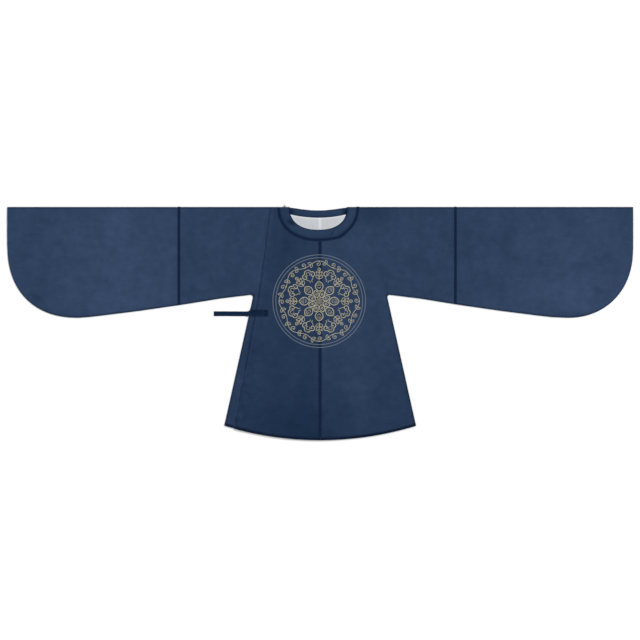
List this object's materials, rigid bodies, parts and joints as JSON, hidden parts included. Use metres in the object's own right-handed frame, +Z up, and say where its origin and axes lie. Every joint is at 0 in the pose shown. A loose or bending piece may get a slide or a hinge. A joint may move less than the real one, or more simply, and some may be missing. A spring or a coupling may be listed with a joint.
{
  "type": "round-collar short jacket, laid flat",
  "caption": "Wide-sleeved short jacket with a round collar, a side-closing front overlap, a tie and dark seam tapes, laid flat with its front up.",
  "frame": {"origin": "under the middle of the whole jacket, on the surface it lies on", "axes": "+X towards the wearer's left sleeve, +Y towards the collar, +Z up off the surface"},
  "size_m": [2, 0.753, 0.0094],
  "materials": {
    "navy_cloth": "matte woven cloth",
    "dark_tape": "matte woven tape",
    "pale_lining": "smooth lining",
    "pale_thread": "lustrous embroidery thread",
    "grey_metal": "satin"
  },
  "bodies": {
    "root": {"body_left": "navy_cloth", "body_right": "navy_cloth", "front_overlap": "navy_cloth", "sleeve_left": "navy_cloth", "sleeve_right": "navy_cloth", "collar_band": "navy_cloth", "lining_left": "pale_lining", "lining_right": "pale_lining", "centre_tape": "dark_tape", "collar_tape": "dark_tape", "sleeve_tape_left": "dark_tape", "sleeve_tape_right": "dark_tape", "hem_tape_overlap": "dark_tape", "hem_tape_left": "dark_tape", "hem_tape_side": "dark_tape", "side_tie": "dark_tape", "collar_button": "grey_metal"}
  },
  "joints": []
}
